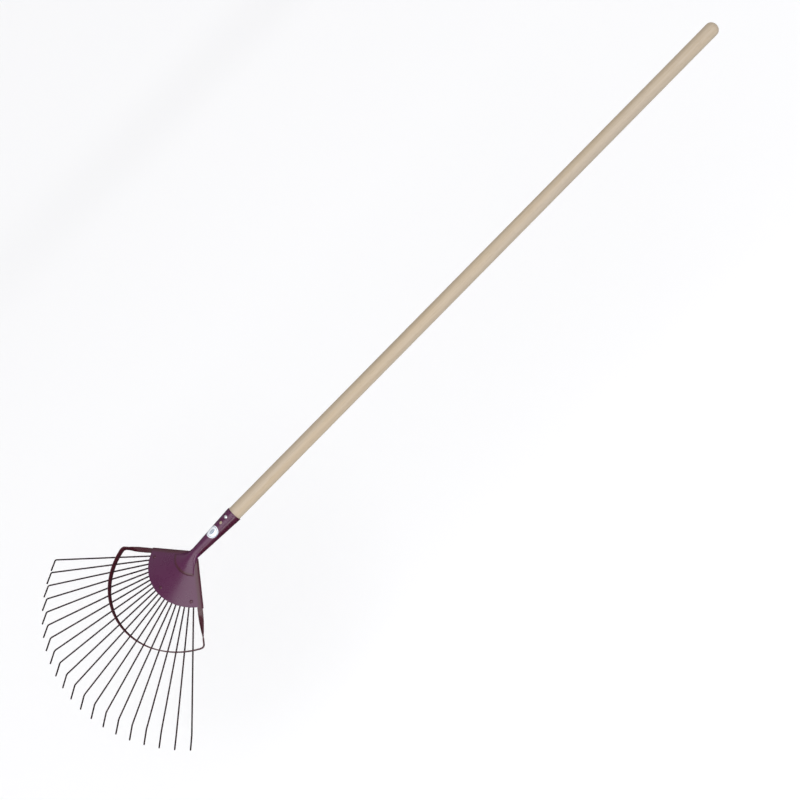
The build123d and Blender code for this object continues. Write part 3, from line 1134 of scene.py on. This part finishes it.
bend = reckon(tines_tree, "MULTIPLY", at_bend.outputs[0], wire["Bend Radius"])
rounded = put(tines_tree, "GeometryNodeFilletCurve",
              {"Curve": wires.outputs[0], "Radius": bend, "Count": 8}, mode="POLY")
tip = put(tines_tree, "GeometryNodeCurveEndpointSelection", {"Start Size": 0, "End Size": 1}).outputs[0]
thinned = put(tines_tree, "GeometryNodeSetCurveRadius",
              {"Curve": rounded.outputs[0], "Radius": rescale(tines_tree, tip, 0.0, 1.0, 1.0, 0.72)})
whole = put(tines_tree, "GeometryNodeSplineLength").outputs[0]
so_far = put(tines_tree, "GeometryNodeSplineParameter").outputs["Length"]
measured = put(tines_tree, "GeometryNodeStoreNamedAttribute",
               {"Geometry": thinned.outputs[0], "Name": "to_tip",
                "Value": reckon(tines_tree, "SUBTRACT", whole, so_far)}, data_type="FLOAT", domain="POINT")
section_circle = put(tines_tree, "GeometryNodeCurvePrimitiveCircle",
                     {"Resolution": 16, "Radius": wire["Wire Radius"]})
drawn = put(tines_tree, "GeometryNodeCurveToMesh",
            {"Curve": measured.outputs[0], "Profile Curve": section_circle.outputs[0], "Fill Caps": True,
             "Scale": put(tines_tree, "GeometryNodeInputRadius").outputs[0]})
plain = put(tines_tree, "GeometryNodeRealizeInstances", {0: drawn.outputs[0]})
finished = put(tines_tree, "GeometryNodeSetMaterial", {0: plain.outputs[0], "Material": wire["Material"]})
tines_tree.links.new(finished.outputs[0], tines_end.inputs[0])


# %% The tines
def grow(name, tree, inputs):
    """Runs a tree on an empty mesh, with its inputs set by identifier, and keeps the result."""
    piece = link_piece(name, bpy.data.meshes.new(name))
    modifier = piece.modifiers.new(name, "NODES")
    modifier.node_group = tree
    sockets = {item.name: item.identifier for item in tree.interface.items_tree if item.in_out == "INPUT"}
    for label, (_, value) in inputs.items():
        modifier[sockets[label]] = value
    settle(piece)
    return piece


tines = grow("spring_tines", tines_tree, tine_values)
soften(tines)
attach(tines, "root")
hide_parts(*[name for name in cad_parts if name.startswith("tine_")])

# %% [markdown]
# ## The rivets
# Three rivets hold the plates together: one between each outer pair of tines and one in the middle. One
# rivet is turned on the lathe, and a small tree sets it on three points of the cone, square to the sheet.

# %% The rivets
rivet_reach = 0.089
rivet_turn = half_turn - tine_step / 2
rivet_head = 0.0033
rivet_shank = 0.0015
rivet_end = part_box("plate_rivet_2")[1].z
rivet_dome = 0.00125
rivet_dome_steps = 7
rivet_profile = [(rivet_end, 0.0)]
for step in reversed(range(rivet_dome_steps)):
    angle = quarter * step / rivet_dome_steps
    rivet_profile.append((rivet_end - rivet_dome * (1 - math.sin(angle)), rivet_head * math.cos(angle)))
rivet_profile += [(cap_level + 0.00002, rivet_head * 0.96), (cap_level + 0.00001, rivet_shank)]
rivet_profile += [(-height, radius) for height, radius in reversed(rivet_profile)]
rivet = lathe("rivet", list(reversed(rivet_profile)), 28, Matrix.Identity(4))
soften(rivet)

rivet_values = {
    "Rivet": ("NodeSocketObject", rivet),
    "Turn": (length, rivet_turn),
    "Reach": (length, rivet_reach),
    "Lean": (length, fan_lean),
    "Apex": (length, apex.x),
    "Material": ("NodeSocketMaterial", enamel_plate),
}
rivets_tree, riveting, rivets_end = geometry_tree("plate_rivets", rivet_values)
rivet_number = put(rivets_tree, "GeometryNodeInputIndex").outputs[0]
rivets_aside = reckon(rivets_tree, "SUBTRACT", rivet_number, 1.0)
rivet_place_turn = reckon(rivets_tree, "MULTIPLY", rivets_aside, riveting["Turn"])
rivet_ray = ray_direction(rivets_tree, riveting["Lean"], rivet_place_turn, (1.0, 0.0, 0.0))
rivet_up = ray_direction(rivets_tree, riveting["Lean"], rivet_place_turn, (0.0, 0.0, 1.0))
rivet_apex = put(rivets_tree, "ShaderNodeCombineXYZ", {0: riveting["Apex"]}).outputs[0]
rivet_arm = scaled(rivets_tree, rivet_ray, riveting["Reach"])
rivet_point = vector_sum(rivets_tree, "ADD", rivet_apex, rivet_arm)
rivet_points = put(rivets_tree, "GeometryNodePoints", {"Count": 3, "Position": rivet_point})
square_to_sheet = put(rivets_tree, "FunctionNodeAlignEulerToVector", {"Vector": rivet_up}, axis="Z")
rivet_shape = put(rivets_tree, "GeometryNodeObjectInfo", {"Object": riveting["Rivet"]})
set_rivets = put(rivets_tree, "GeometryNodeInstanceOnPoints",
                 {"Points": rivet_points.outputs[0], "Instance": rivet_shape.outputs["Geometry"],
                  "Rotation": square_to_sheet.outputs[0]})
real_rivets = put(rivets_tree, "GeometryNodeRealizeInstances", {0: set_rivets.outputs[0]})
painted_rivets = put(rivets_tree, "GeometryNodeSetMaterial",
                     {0: real_rivets.outputs[0], "Material": riveting["Material"]})
rivets_tree.links.new(painted_rivets.outputs[0], rivets_end.inputs[0])
rivets = grow("plate_rivets", rivets_tree, rivet_values)
bpy.data.objects.remove(rivet)
soften(rivets)
# The rivets are painted most of the way to the shaded maroon, as painted shade.
paint_shade_mask(rivets, lambda point: 0.8)
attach(rivets, "root")
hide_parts("plate_rivet_1", "plate_rivet_2", "plate_rivet_3")
